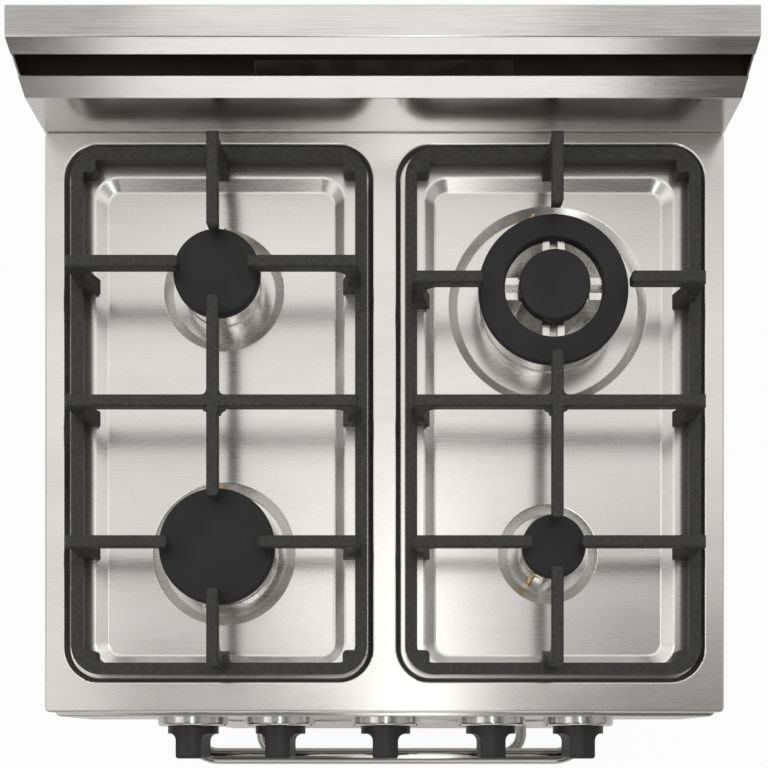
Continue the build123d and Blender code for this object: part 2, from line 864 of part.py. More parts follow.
def knob(x):
    # A round skirt that sweeps in to an upright grip, bored for its spindle
    length = knob_back_y - knob_front_y
    half = knob_grip / 2
    body = Cylinder(knob_radius, length, align=centred)
    body = fillet(body.faces().sort_by(Axis.Z)[-1].edges(), 2 * knob_round)
    points = [(-knob_radius, 0), (knob_radius, 0), (knob_radius, knob_base), (half, knob_base),
              (half, length), (-half, length), (-half, knob_base), (-knob_radius, knob_base)]
    face = make_face(Polyline(*points, close=True))
    face = rounded_corners(face, [points[3], points[6]], knob_blend)
    face = rounded_corners(face, [points[4], points[5]], knob_round)
    face = rounded_corners(face, [points[2], points[7]], knob_edge)
    grip = extrude(Plane.XZ * face, knob_radius, both=True)
    body = body & grip
    bore = spindle_grip + push_travel + rest_gap
    body -= extrude(d_section(spindle_radius + running_gap, spindle_flat + running_gap), bore)
    return facing_front(x, knob_back_y, body)


def tap_spindle(x):
    # A shaft turned in the tap, with a flat for the knob
    shaft = extrude(d_section(spindle_radius, spindle_flat), knob_standoff + spindle_grip)
    shaft += Pos(0, 0, -spindle_depth) * Cylinder(spindle_radius, spindle_depth, align=centred)
    return facing_front(x, panel_y, shaft)


def tap_bodies():
    # Brass valve bodies that sit on the gas rail with their noses against the panel
    taps = []
    for x in knob_xs:
        sides = (x - tap_width / 2, x + tap_width / 2)
        tap = block(sides, (tap_front_y, tap_back_y), (tap_z, tap_z + tap_height))
        tap = fillet(tap.edges().filter_by(Axis.Y), tap_corner)
        tap += rod((x, panel_back_y, knob_z), (x, tap_front_y, knob_z), tap_nose_radius)
        bore = spindle_radius + running_gap
        tap -= rod((x, panel_y, knob_z), (x, panel_y + spindle_depth + slack, knob_z), bore)
        taps.append(tap - gas_rail_bar())
    return taps


def gas_rail_bar():
    # The straight part of the gas rail, let into the underside of the taps
    end = inner_half - rail_margin
    return rod((-end, rail_y, rail_z), (end, rail_y, rail_z), rail_radius)


def gas_rail():
    # The rail under the taps and its run along the side to the inlet
    points = [(inlet_x, rail_y, rail_z), (inlet_x, inlet_y - 2 * supply_lead, rail_z),
              (inlet_x, inlet_y - supply_lead, inlet_z), (inlet_x, inlet_y, inlet_z)]
    return gas_rail_bar() + tube(points, supply_bend, supply_radius)


def gas_inlet():
    # A hexagon fitting with a threaded spigot that faces the wall
    nut = extrude(RegularPolygon(inlet_nut, 6), inlet_nut_length)
    spigot = Pos(0, 0, inlet_nut_length) * Cylinder(inlet_radius, inlet_length, align=centred)
    bore = Pos(0, 0, inlet_nut_length) * Cylinder(inlet_bore, inlet_length + slack, align=centred)
    return Pos(inlet_x, inlet_y, inlet_z) * Rot(-90, 0, 0) * (nut + spigot - bore)


def feed_pipes():
    # Thin pipes from the taps to the burner cups, and one round the back to the oven
    lines = []
    fed = {"rapid": knob_xs[0], "semi": knob_xs[1], "aux": knob_xs[4], "wok": knob_xs[3]}
    for name, tap_x in fed.items():
        x, y, cap, dish, ports = burners[name]
        end = y - cup_radius(cap)
        points = [(tap_x, tap_back_y, pipe_z), (tap_x, end - pipe_offset, pipe_z),
                  (x, end - pipe_lead, pipe_z), (x, end + slack, pipe_z)]
        cup = Pos(x, y, pipe_z - pipe_offset) * Cylinder(cup_radius(cap), 2 * pipe_offset, align=centred)
        lines.append(tube(points, pipe_bend, pipe_radius) - cup)
    x = knob_xs[2]
    turn_y = front_y + oven_pipe_back
    drop_y = liner_back_y + flue_depth / 2
    burner_z = cavity_z + oven_burner_rise
    points = [(x, tap_back_y, pipe_z), (x, turn_y, pipe_z), (oven_pipe_x, turn_y, pipe_z),
              (oven_pipe_x, drop_y, pipe_z), (oven_pipe_x, drop_y, burner_z),
              (oven_pipe_x, front_y + oven_burner_rear, burner_z)]
    lines.append(tube(points, pipe_bend, pipe_radius))
    return lines


def oven_liner():
    # An enamelled box open to the front, let into the back for flue and gas pipe
    low = cavity_z
    half = cavity_half
    outer_z = (low - sheet, cavity_top + sheet)
    liner = block((-half - sheet, half + sheet), (liner_y, liner_back_y + sheet), outer_z)
    liner -= block((-half, half), (liner_y - slack, liner_back_y), (low, cavity_top))
    z = low + oven_burner_rise
    liner -= rod((oven_pipe_x, liner_back_y - slack, z), (oven_pipe_x, liner_back_y + 2 * sheet, z),
                 pipe_radius + hole_gap)
    return liner - flue_opening()


def oven_floor_plate():
    # A loose plate over the oven burner, standing on its turned-down sides
    half = cavity_half - floor_plate_gap
    y = (liner_y + floor_plate_gap, liner_back_y - floor_plate_gap)
    tray = block((-half, half), y, (cavity_z, floor_plate_z))
    tray -= block((sheet - half, half - sheet), (y[0] - slack, y[1] + slack),
                  (cavity_z - slack, floor_plate_z - sheet))
    pitch = (y[1] - y[0]) / plate_slots
    slot = Box(plate_slot_width, plate_slot_length, 4 * sheet)
    for side in (-1, 1):
        for i in range(plate_slots):
            tray -= Pos(side * (half - plate_slot_inset), y[0] + (i + 1 / 2) * pitch, floor_plate_z) * slot
    return tray


def oven_burner():
    # A bent burner tube standing on two low feet
    z = cavity_z + oven_burner_rise
    front = front_y + oven_burner_front
    rear = front_y + oven_burner_rear
    points = [(oven_pipe_x, rear, z), (oven_pipe_x, front, z), (-oven_pipe_x, front, z),
              (-oven_pipe_x, rear, z)]
    burner = tube(points, oven_burner_bend, oven_burner_radius)
    middle = (front + rear) / 2
    for x in (-oven_pipe_x, oven_pipe_x):
        burner += block((x - oven_burner_radius / 2, x + oven_burner_radius / 2),
                        (middle - oven_burner_radius, middle + oven_burner_radius), (cavity_z, z))
    return burner


def level_z(level):
    # Height of a rack runner's lower wire
    return cavity_z + guide_rise + level * guide_pitch


def rack_guides():
    # Wire ladders on the oven's side walls, each level a runner bent into its two posts
    guides = []
    y = (front_y + guide_front, front_y + guide_rear)
    top = level_z(guide_levels - 1) + guide_end
    for side in (-1, 1):
        wall = side * (cavity_half - guide_post)
        inner = side * (cavity_half - guide_stand)
        posts = [rod((wall, post, level_z(0) - guide_end), (wall, post, top), guide_post) for post in y]
        runners = []
        for level in range(guide_levels):
            z = level_z(level)
            points = [(wall, y[0], z), (inner, y[0], z), (inner, y[1], z), (wall, y[1], z)]
            runners.append(tube(points, guide_bend, guide_wire))
        guides.append(posts[0] + posts[1] + runners)
    return guides


def oven_rack():
    # A wire shelf lying on one pair of runners
    half = cavity_half - guide_stand
    y = (front_y + guide_front + guide_end, front_y + guide_rear - guide_end)
    z = level_z(rack_level) + guide_wire + rack_rim
    tail = y[1] + rack_rim
    rack = tube([(-half, tail, z), (-half, y[0], z), (half, y[0], z), (half, tail, z)], guide_bend, rack_rim)
    rack += rod((-half, y[1], z), (half, y[1], z), rack_bar)
    for i in range(1, rack_rods):
        x = half * (2 * i / rack_rods - 1)
        rack += rod((x, y[0], z), (x, y[1], z), rack_wire)
    return rack


def oven_front_frame():
    # The steel front of the oven, open to the cavity
    frame = block((-inner_half, inner_half), (frame_y, frame_y + sheet), (drawer_top, panel_z + base_flange))
    depth = (frame_y - slack, frame_y + 2 * sheet)
    return frame - block((-cavity_half, cavity_half), depth, (cavity_z, cavity_top))


def door_seal():
    # A rubber ring on the front frame, just clear of the closed door
    middle = (0, frame_y, (cavity_z + cavity_top) / 2)
    inner = (2 * (cavity_half + seal_margin), cavity_top - cavity_z + 2 * seal_margin)
    outer = (inner[0] + 2 * seal_width, inner[1] + 2 * seal_width)
    depth = seal_space - rest_gap
    ring = plate(outer, window_corner + seal_width, middle, -depth)
    ring -= plate(inner, window_corner, middle, -depth)
    return fillet(ring.faces().sort_by(Axis.Y)[0].edges(), seal_round)


def both_sides(solid):
    # A piece and its mirror image on the other side
    return [solid, mirror(solid, about=Plane.YZ)]


def hinge_brackets():
    # Steel ears on the front frame, each with a pivot pin
    x = hinge_x + arm_thick + bracket_gap
    ear = block((x, x + bracket_thick), (hinge_y, frame_y), (hinge_z - arm_half, hinge_z + arm_half))
    ear += rod((x, hinge_y, hinge_z), (x + bracket_thick, hinge_y, hinge_z), arm_half)
    ear += rod((hinge_x - bracket_gap, hinge_y, hinge_z), (x, hinge_y, hinge_z), pin_radius)
    return both_sides(ear)


def door_hinge_arms():
    # Door arms bored for the pivot pins, held against the inner panel
    x = (hinge_x, hinge_x + arm_thick)
    back = door_back_y - sheet
    arm = block(x, (hinge_y - arm_half, back), (hinge_z, hinge_z + arm_length))
    arm += rod((x[0], hinge_y, hinge_z), (x[1], hinge_y, hinge_z), arm_half)
    arm -= block((x[0] - slack, x[1] + slack), (hinge_y + arm_half, back + slack),
                 (hinge_z - arm_half, hinge_z + notch_up))
    arm -= rod((x[0] - slack, hinge_y, hinge_z), (x[1] + slack, hinge_y, hinge_z), pin_radius + running_gap)
    return both_sides(arm)


def hinge_notches():
    # Room in the door's lower corners for brackets and pins as the door swings
    x = (hinge_x - bracket_gap - notch_side, hinge_x + arm_thick + bracket_gap + bracket_thick + notch_side)
    depth = (hinge_y - arm_half - notch_side, door_back_y + slack)
    notch = block(x, depth, (door_z - slack, hinge_z + notch_up))
    return both_sides(notch)


def door_window(margin, y, thick):
    # A rounded plate over the door's window, larger than it by a margin
    size = (window_width + 2 * margin, window_height + 2 * margin)
    return plate(size, window_corner + margin, (0, y, window_z + window_height / 2), thick)


def door_panel():
    # The door's outer tray with its window
    panel = facing(door_z, door_top, door_skin_depth, facing_corner)
    panel -= door_window(0, door_front_y - slack, sheet + 2 * slack)
    return panel - hinge_notches()


def door_inner_panel():
    # The door's inner tray, facing the oven
    y = door_front_y + door_skin_depth
    panel = block((-facing_half, facing_half), (y, door_back_y), (door_z, door_top))
    reach = facing_half - sheet
    panel -= block((-reach, reach), (y - slack, door_back_y - sheet), (door_z + sheet, door_top - sheet))
    panel -= door_window(-inner_window_margin / 2, door_back_y - sheet - slack, sheet + 2 * slack)
    return panel - hinge_notches()


def door_inner_glass():
    # The inner pane behind the inner tray's window
    return door_window(glass_margin - inner_window_margin / 2, door_back_y - sheet - glass_thick, glass_thick)


def drawer_box():
    # An open-topped sheet box with a tall front plate that carries the drawer front
    low = drawer_z + drawer_floor_rise
    high = drawer_top - drawer_drop
    y = (drawer_back_y, drawer_back_y + drawer_length)
    box = block((-drawer_half, drawer_half), y, (low, high))
    box += block((sheet / 2 - facing_half, facing_half - sheet / 2), (y[0], y[0] + sheet),
                 (drawer_z + sheet / 2, drawer_top - sheet / 2))
    inner = drawer_half - sheet
    return box - block((-inner, inner), (y[0] + sheet, y[1] - sheet), (low + sheet, high + slack))


def drawer_slides():
    # Runner bars on the drawer's sides
    low = drawer_z + slide_rise
    reach = (drawer_back_y + sheet, drawer_back_y + drawer_length)
    bar = block((drawer_half, drawer_half + slide_thick), reach,
                (low, low + slide_height))
    bar = fillet(bar.faces().sort_by(Axis.X)[-1].edges().filter_by(Axis.Y), slide_round)
    return both_sides(bar)


def drawer_rails():
    # Channels on the case sides that the runner bars slide in
    low = drawer_z + slide_rise - rest_gap
    high = low + slide_height + 2 * rest_gap
    y = (frame_y, drawer_back_y + drawer_length)
    back = drawer_half + slide_thick + rest_gap
    lip = drawer_half + slide_thick / 2
    rail = block((lip, inner_half), y, (low - rail_wall, high + rail_wall))
    rail -= block((lip - slack, back), (y[0] - slack, y[1] + slack), (low, high))
    return both_sides(rail)


def write(name, shape):
    # One file for each named piece, a list being a group of separate solids
    solids = shape if isinstance(shape, list) else [shape]
    bodies = [solid for item in solids for solid in item.solids()]
    export_step(bodies[0] if len(bodies) == 1 else Compound(children=bodies), f"parts/{name}.step")


def main():
    os.makedirs("parts", exist_ok=True)
    write("side_panel_left", side_panel(-1))
    write("side_panel_right", side_panel(1))
    write("rear_panel", rear_panel())
    write("base_frame", base_frame())
    write("leveling_feet", leveling_feet())
    write("hob_top", hob_top())
    write("backguard_front", backguard_front())
    write("backguard_cover", backguard_cover())
    write("vent_channel", vent_channel())
    write("flue_duct", flue_duct())
    write("control_panel", control_panel())
    write("knob_bezels", knob_bezels())
    write("tap_bodies", tap_bodies())
    write("gas_rail", gas_rail())
    write("gas_inlet", gas_inlet())
    write("burner_feed_pipes", feed_pipes())
    write("burner_cups", burner_cups())
    for name in ("rapid", "semi", "aux"):
        write(f"crown_{name}", plain_crown(name))
        write(f"cap_{name}", disc_cap(*burners[name][:3]))
    write("crown_wok", wok_crown())
    write("cap_wok_ring", ring_cap())
    write("cap_wok_centre", Pos(0, 0, centre_rise) * disc_cap(right_burner_x, wok_y, wok_centre_cap))
    write("spark_electrodes", pins(spark_angles, ceramic_radius, ceramic_top))
    write("flame_probes", pins(probe_angles, probe_radius, probe_bare))
    write("grate_left", grate(-1, semi_y, rapid_opening, semi_opening))
    write("grate_right", grate(1, wok_y, aux_opening, wok_opening))
    write("oven_liner", oven_liner())
    write("oven_floor_plate", oven_floor_plate())
    write("oven_burner", oven_burner())
    write("rack_guides", rack_guides())
    write("oven_rack", oven_rack())
    write("oven_front_frame", oven_front_frame())
    write("door_seal", door_seal())
    write("hinge_brackets", hinge_brackets())
    write("door_panel", door_panel())
    write("door_glass", door_window(glass_margin, door_front_y + sheet, glass_thick))
    write("door_inner_panel", door_inner_panel())
    write("door_inner_glass", door_inner_glass())
    write("door_handle", handle(door_top - door_handle_drop))
    write("door_hinge_arms", door_hinge_arms())
    write("drawer_front", facing(drawer_z, drawer_top, drawer_front_depth, facing_corner))
    write("drawer_box", drawer_box())
    write("drawer_handle", handle(drawer_top - drawer_handle_drop))
    write("drawer_slides", drawer_slides())
    write("drawer_rails", drawer_rails())
    for number, x in enumerate(knob_xs, start=1):
        write(f"tap_spindle_{number}", tap_spindle(x))
        write(f"knob_{number}", knob(x))


if __name__ == "__main__":
    main()
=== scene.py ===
import json
from math import pi, radians

import bpy
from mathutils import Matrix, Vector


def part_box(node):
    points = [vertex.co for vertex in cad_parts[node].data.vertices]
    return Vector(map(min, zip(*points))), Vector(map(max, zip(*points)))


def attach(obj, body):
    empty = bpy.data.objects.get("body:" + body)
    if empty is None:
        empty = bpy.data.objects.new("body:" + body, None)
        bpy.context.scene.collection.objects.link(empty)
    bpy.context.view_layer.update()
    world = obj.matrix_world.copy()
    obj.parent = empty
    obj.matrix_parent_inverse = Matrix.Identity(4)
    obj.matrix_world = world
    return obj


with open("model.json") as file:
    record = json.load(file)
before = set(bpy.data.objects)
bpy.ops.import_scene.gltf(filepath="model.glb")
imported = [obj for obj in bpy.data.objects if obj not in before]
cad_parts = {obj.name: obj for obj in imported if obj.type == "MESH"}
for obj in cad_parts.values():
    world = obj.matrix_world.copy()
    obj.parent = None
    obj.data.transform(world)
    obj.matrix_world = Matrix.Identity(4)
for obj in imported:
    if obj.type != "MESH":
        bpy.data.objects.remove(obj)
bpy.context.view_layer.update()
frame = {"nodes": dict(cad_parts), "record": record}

nodes = frame["nodes"]
print("frame loaded:", len(nodes), "nodes")


# Finishes

noiseRange = {"low": 0.3, "middle": 0.5, "high": 0.7}  # where a noise texture mostly lies
waveRepeat = 2 * pi / 20  # a wave texture of scale 1 repeats after this length


def newFinish(name):
    made = bpy.data.materials.new(name)
    made.use_nodes = True
    tree = made.node_tree
    shader = tree.nodes["Principled BSDF"]
    return made, tree, shader


def objectSpace(tree, scale=(1, 1, 1)):
    place = tree.nodes.new("ShaderNodeTexCoord")
    mapping = tree.nodes.new("ShaderNodeMapping")
    mapping.inputs["Scale"].default_value = scale
    tree.links.new(place.outputs["Object"], mapping.inputs["Vector"])
    return mapping.outputs["Vector"]


def noiseAt(tree, vector, scale, detail=4.0, rough=0.55):
    noise = tree.nodes.new("ShaderNodeTexNoise")
    noise.inputs["Scale"].default_value = scale
    noise.inputs["Detail"].default_value = detail
    noise.inputs["Roughness"].default_value = rough
    tree.links.new(vector, noise.inputs["Vector"])
    return noise.outputs["Fac"]


def spread(tree, value, low, high, start=noiseRange["low"], end=noiseRange["high"]):
    # Stretches a noise value over a range of plain numbers
    ranged = tree.nodes.new("ShaderNodeMapRange")
    ranged.inputs["From Min"].default_value = start
    ranged.inputs["From Max"].default_value = end
    ranged.inputs["To Min"].default_value = low
    ranged.inputs["To Max"].default_value = high
    tree.links.new(value, ranged.inputs["Value"])
    return ranged.outputs["Result"]


def shades(tree, value, dark, light, start=noiseRange["low"], end=noiseRange["high"]):
    # The same for a colour
    ramp = tree.nodes.new("ShaderNodeValToRGB")
    ramp.color_ramp.elements[0].position = start
    ramp.color_ramp.elements[0].color = (*dark, 1)
    ramp.color_ramp.elements[1].position = end
    ramp.color_ramp.elements[1].color = (*light, 1)
    tree.links.new(value, ramp.inputs["Fac"])
    return ramp.outputs["Color"]


def bumpFrom(tree, height, strength, distance, under=None):
    bump = tree.nodes.new("ShaderNodeBump")
    bump.inputs["Strength"].default_value = strength
    bump.inputs["Distance"].default_value = distance
    tree.links.new(height, bump.inputs["Height"])
    if under is not None:
        tree.links.new(under, bump.inputs["Normal"])
    return bump.outputs["Normal"]


def acrossTheLines(tree):
    # Brushed lines run along X, so a mirrored shape smears over Y on flat sheet and over Z on upright sheet
    slant = 0.7
    lean = tree.nodes.new("ShaderNodeCombineXYZ")
    lean.inputs["Y"].default_value = slant
    lean.inputs["Z"].default_value = slant
    turned = tree.nodes.new("ShaderNodeVectorTransform")
    turned.vector_type = "VECTOR"
    turned.convert_from = "OBJECT"
    turned.convert_to = "WORLD"
    tree.links.new(lean.outputs[0], turned.inputs[0])
    return turned.outputs[0]


def brushedFinish(name, look):
    # Sheet metal with fine lines along one axis and broad soft clouds under them
    made, tree, shader = newFinish(name)
    lines = noiseAt(tree, objectSpace(tree, look["lineScale"]), look["lineSize"], detail=3.0, rough=0.6)
    cloud = noiseAt(tree, objectSpace(tree, look["cloudScale"]), scale=1.0, detail=3.0)
    shader.inputs["Metallic"].default_value = 1.0
    both = tree.nodes.new("ShaderNodeMath")
    both.operation = "MULTIPLY_ADD"
    both.inputs[1].default_value = look["lineShare"]
    tree.links.new(lines, both.inputs[0])
    tree.links.new(cloud, both.inputs[2])
    middle = noiseRange["middle"] * (1 + look["lineShare"])
    low = middle - look["window"]
    high = middle + look["window"]
    color = shades(tree, both.outputs[0], look["dark"], look["light"], low, high)
    tree.links.new(color, shader.inputs["Base Color"])
    tree.links.new(spread(tree, both.outputs[0], *look["roughness"], low, high), shader.inputs["Roughness"])
    tree.links.new(bumpFrom(tree, lines, look["bump"], look["depth"]), shader.inputs["Normal"])
    shader.inputs["Anisotropic"].default_value = look["smear"]
    tree.links.new(acrossTheLines(tree), shader.inputs["Tangent"])
    return made


def grainFinish(name, look):
    # Paint, enamel, plastic, rubber or casting: fine grain with slow colour drift
    made, tree, shader = newFinish(name)
    space = objectSpace(tree)
    fine = noiseAt(tree, space, look["grain"], rough=0.65)
    slow = noiseAt(tree, space, look["drift"], detail=3.0)
    shader.inputs["Metallic"].default_value = look.get("metallic", 0.0)
    shader.inputs["Specular IOR Level"].default_value = look.get("specular", 0.5)
    shader.inputs["Coat Weight"].default_value = look.get("coat", 0.0)
    shader.inputs["Coat Roughness"].default_value = look.get("coatRoughness", 0.1)
    tree.links.new(shades(tree, slow, look["dark"], look["light"]), shader.inputs["Base Color"])
    tree.links.new(spread(tree, fine, *look["roughness"]), shader.inputs["Roughness"])
    tree.links.new(bumpFrom(tree, fine, look["bump"], look["depth"]), shader.inputs["Normal"])
    return made


def speckledFinish(name, look):
    # Oven enamel: small pale flecks in a dark glaze
    made, tree, shader = newFinish(name)
    space = objectSpace(tree)
    fleck = tree.nodes.new("ShaderNodeTexVoronoi")
    fleck.inputs["Scale"].default_value = look["flecks"]
    tree.links.new(space, fleck.inputs["Vector"])
    color = shades(tree, fleck.outputs["Distance"], look["light"], look["dark"], *look["fleckEdge"])
    tree.links.new(color, shader.inputs["Base Color"])
    wave = noiseAt(tree, space, look["wave"], detail=2.0)
    tree.links.new(spread(tree, wave, *look["roughness"]), shader.inputs["Roughness"])
    tree.links.new(bumpFrom(tree, wave, look["bump"], look["depth"]), shader.inputs["Normal"])
    return made


def spangleFinish(name, look):
    # Zinc coat with flat crystals of slightly different grey
    made, tree, shader = newFinish(name)
    space = objectSpace(tree)
    crystal = tree.nodes.new("ShaderNodeTexVoronoi")
    crystal.inputs["Scale"].default_value = look["crystals"]
    tree.links.new(space, crystal.inputs["Vector"])
    shader.inputs["Metallic"].default_value = 1.0
    grey = tree.nodes.new("ShaderNodeRGBToBW")
    tree.links.new(crystal.outputs["Color"], grey.inputs["Color"])
    color = shades(tree, grey.outputs["Val"], look["dark"], look["light"], *look["window"])
    rough = spread(tree, grey.outputs["Val"], *look["roughness"], *look["window"])
    tree.links.new(color, shader.inputs["Base Color"])
    tree.links.new(rough, shader.inputs["Roughness"])
    fine = noiseAt(tree, space, look["grain"])
    tree.links.new(bumpFrom(tree, fine, look["bump"], look["depth"]), shader.inputs["Normal"])
    return made


def threadedFinish(name, look, tip):
    # Brass that is grooved like a pipe thread over a length before its tip
    made = grainFinish(name, look)
    tree = made.node_tree
    shader = tree.nodes["Principled BSDF"]
    space = objectSpace(tree)
    groove = tree.nodes.new("ShaderNodeTexWave")
    groove.bands_direction = "Y"
    groove.inputs["Scale"].default_value = waveRepeat / look["pitch"]
    tree.links.new(space, groove.inputs["Vector"])
    split = tree.nodes.new("ShaderNodeSeparateXYZ")
    tree.links.new(space, split.inputs[0])
    start = tip - look["threadLength"]
    cut = spread(tree, split.outputs["Y"], 0.0, 1.0, start, start + look["pitch"])
    deep = tree.nodes.new("ShaderNodeMath")
    deep.operation = "MULTIPLY"
    tree.links.new(groove.outputs["Fac"], deep.inputs[0])
    tree.links.new(cut, deep.inputs[1])
    grain = shader.inputs["Normal"].links[0].from_socket
    ridges = bumpFrom(tree, deep.outputs[0], look["grooveBump"], look["pitch"] / 2, grain)
    tree.links.new(ridges, shader.inputs["Normal"])
    return made


def tintedGlass(name, look):
    made, tree, shader = newFinish(name)
    shader.inputs["Transmission Weight"].default_value = look["clear"]
    shader.inputs["IOR"].default_value = look["bending"]
    wave = noiseAt(tree, objectSpace(tree), look["wave"], detail=2.0)
    tree.links.new(shades(tree, wave, look["dark"], look["light"]), shader.inputs["Base Color"])
    tree.links.new(spread(tree, wave, *look["roughness"]), shader.inputs["Roughness"])
    return made


hobLook = {"dark": (0.70, 0.685, 0.655), "light": (0.83, 0.815, 0.78), "roughness": (0.23, 0.32),
           "lineScale": (1.2, 90, 90), "lineSize": 22.0, "cloudScale": (5, 16, 16), "lineShare": 0.7,
           "window": 0.34, "bump": 0.10, "depth": 0.0002, "smear": 0.62}
backguardLook = {**hobLook, "dark": (0.60, 0.59, 0.572), "light": (0.80, 0.79, 0.77),
                 "roughness": (0.16, 0.26), "window": 0.26, "bump": 0.14}
doorLook = {**hobLook, "roughness": (0.26, 0.34), "window": 0.50}
panelLook = {**hobLook, "dark": (0.60, 0.59, 0.57), "light": (0.72, 0.71, 0.69), "roughness": (0.14, 0.22),
             "lineShare": 0.6, "bump": 0.04, "smear": 0.5}
handleLook = {"dark": (0.44, 0.425, 0.405), "light": (0.56, 0.545, 0.52), "roughness": (0.07, 0.12),
              "lineScale": (1.0, 60, 60), "lineSize": 20.0, "cloudScale": (8, 8, 8), "lineShare": 0.5,
              "window": 0.34, "bump": 0.03, "depth": 0.0002, "smear": 0.0}
chromeLook = {"dark": (0.62, 0.61, 0.59), "light": (0.76, 0.75, 0.73), "roughness": (0.10, 0.18),
              "lineScale": (30, 30, 30), "lineSize": 20.0, "cloudScale": (20, 20, 20), "lineShare": 0.5,
              "window": 0.34, "bump": 0.02, "depth": 0.0002, "smear": 0.0}
spindleLook = {**chromeLook, "roughness": (0.22, 0.34)}
castIronLook = {"dark": (0.020, 0.0194, 0.0188), "light": (0.048, 0.0463, 0.0445), "roughness": (0.42, 0.62),
                "grain": 900.0, "drift": 330.0, "bump": 0.5, "depth": 0.0006, "specular": 0.36}
capLook = {"dark": (0.017, 0.017, 0.0173), "light": (0.023, 0.023, 0.0234), "roughness": (0.48, 0.60),
           "grain": 1500.0, "drift": 30.0, "bump": 0.16, "depth": 0.0002, "specular": 0.24}
knobLook = {"dark": (0.012, 0.012, 0.0125), "light": (0.018, 0.018, 0.0185), "roughness": (0.38, 0.48),
            "grain": 1800.0, "drift": 60.0, "bump": 0.08, "depth": 0.0001, "specular": 0.5}
alloyLook = {"dark": (0.74, 0.73, 0.70), "light": (0.86, 0.85, 0.82), "roughness": (0.20, 0.32),
             "grain": 700.0, "drift": 90.0, "bump": 0.05, "depth": 0.0002, "metallic": 1.0}
brassLook = {"dark": (0.50, 0.34, 0.13), "light": (0.78, 0.58, 0.27), "roughness": (0.22, 0.38),
             "grain": 600.0, "drift": 60.0, "bump": 0.06, "depth": 0.0002, "metallic": 1.0}
pipeLook = {"dark": (0.50, 0.50, 0.49), "light": (0.64, 0.64, 0.63), "roughness": (0.30, 0.44),
            "grain": 500.0, "drift": 30.0, "bump": 0.08, "depth": 0.0002, "metallic": 1.0}
caseLook = {"dark": (0.42, 0.42, 0.415), "light": (0.47, 0.47, 0.465), "roughness": (0.34, 0.46),
            "grain": 420.0, "drift": 6.0, "bump": 0.10, "depth": 0.0003, "coat": 0.1}
# Vent channel: its near-black colour is painted shade, standing in for the unlit inside of the backguard's
# slot
slotShadeLook = {"dark": (0.034, 0.031, 0.024), "light": (0.048, 0.044, 0.034), "roughness": (0.30, 0.42),
               "grain": 800.0, "drift": 30.0, "bump": 0.10, "depth": 0.0002}
footLook = {"dark": (0.020, 0.020, 0.020), "light": (0.032, 0.032, 0.032), "roughness": (0.50, 0.66),
            "grain": 900.0, "drift": 60.0, "bump": 0.15, "depth": 0.0003}
sealLook = {"dark": (0.015, 0.015, 0.015), "light": (0.026, 0.026, 0.026), "roughness": (0.62, 0.80),
            "grain": 700.0, "drift": 50.0, "bump": 0.12, "depth": 0.0003}
ceramicLook = {"dark": (0.74, 0.72, 0.68), "light": (0.84, 0.83, 0.80), "roughness": (0.14, 0.24),
               "grain": 900.0, "drift": 80.0, "bump": 0.05, "depth": 0.0002, "coat": 0.3}
zincLook = {"dark": (0.50, 0.508, 0.515), "light": (0.58, 0.588, 0.595), "roughness": (0.34, 0.44),
            "crystals": 150.0, "window": (0.2, 0.8), "grain": 700.0, "bump": 0.05, "depth": 0.0002}
sootLook = {**zincLook, "dark": (0.60, 0.58, 0.53), "light": (0.66, 0.64, 0.59), "roughness": (0.48, 0.60),
            "crystals": 90.0}
ovenLook = {"dark": (0.014, 0.015, 0.018), "light": (0.20, 0.20, 0.21), "roughness": (0.16, 0.28),
            "flecks": 420.0, "fleckEdge": (0.06, 0.16), "wave": 60.0, "bump": 0.06, "depth": 0.0006}
frameLook = {**ovenLook, "light": (0.05, 0.05, 0.052), "roughness": (0.24, 0.34)}
glassLook = {"dark": (0.40, 0.405, 0.41), "light": (0.44, 0.445, 0.45), "roughness": (0.0, 0.02),
             "wave": 8.0, "clear": 1.0, "bending": 1.5}
inletLook = {**brassLook, "pitch": 0.0018, "threadLength": 0.016, "grooveBump": 0.9}

finishes = {
    "steel": brushedFinish("brushedSteel", hobLook),
    "case": grainFinish("greyCoat", caseLook),
    "galvanised": spangleFinish("zincSheet", zincLook),
    # the vent channel's near-black finish is painted shade of the unlit slot
    "black_metal": grainFinish("channelPaintedShade", slotShadeLook),
    "foot": grainFinish("footPlastic", footLook),
    "cast_iron": grainFinish("castIron", castIronLook),
    "enamel": grainFinish("capEnamel", capLook),
    "alloy": grainFinish("castAlloy", alloyLook),
    "knob": grainFinish("knobPlastic", knobLook),
    "chrome": brushedFinish("satinChrome", chromeLook),
    "handle": brushedFinish("polishedTube", handleLook),
    "spindle": brushedFinish("turnedSteel", spindleLook),
    "brass": grainFinish("machinedBrass", brassLook),
    "pipe": grainFinish("drawnTube", pipeLook),
    "porcelain": grainFinish("whiteCeramic", ceramicLook),
    "oven_enamel": speckledFinish("ovenEnamel", ovenLook),
    "seal": grainFinish("sealRubber", sealLook),
    "glass": tintedGlass("tintedGlass", glassLook),
}
panelSteel = brushedFinish("panelSteel", panelLook)
doorSteel = brushedFinish("doorSteel", doorLook)
backguardSteel = brushedFinish("backguardSteel", backguardLook)
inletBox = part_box("gas_inlet")
frameEnamel = speckledFinish("frameEnamel", frameLook)

# Nodes whose finish differs from that of their slot
ownFinish = {
    "oven_front_frame": frameEnamel,
    "door_inner_panel": frameEnamel,
    "backguard_front": backguardSteel,
    "backguard_cover": backguardSteel,
    "control_panel": panelSteel,
    "door_panel": doorSteel,
    "drawer_front": doorSteel,
    "gas_inlet": threadedFinish("threadedBrass", inletLook, inletBox[1].y),
    "flue_duct": spangleFinish("sootedZinc", sootLook),
}

for row in frame["record"]["subparts"]:
    node = nodes[row["node"]]
    node.data.materials.clear()
    node.data.materials.append(ownFinish.get(row["node"], finishes[row["material_slot"]]))
print("finishes set on", len(nodes), "nodes")


# Screws of the rear panel, the front frame and the inner door panel

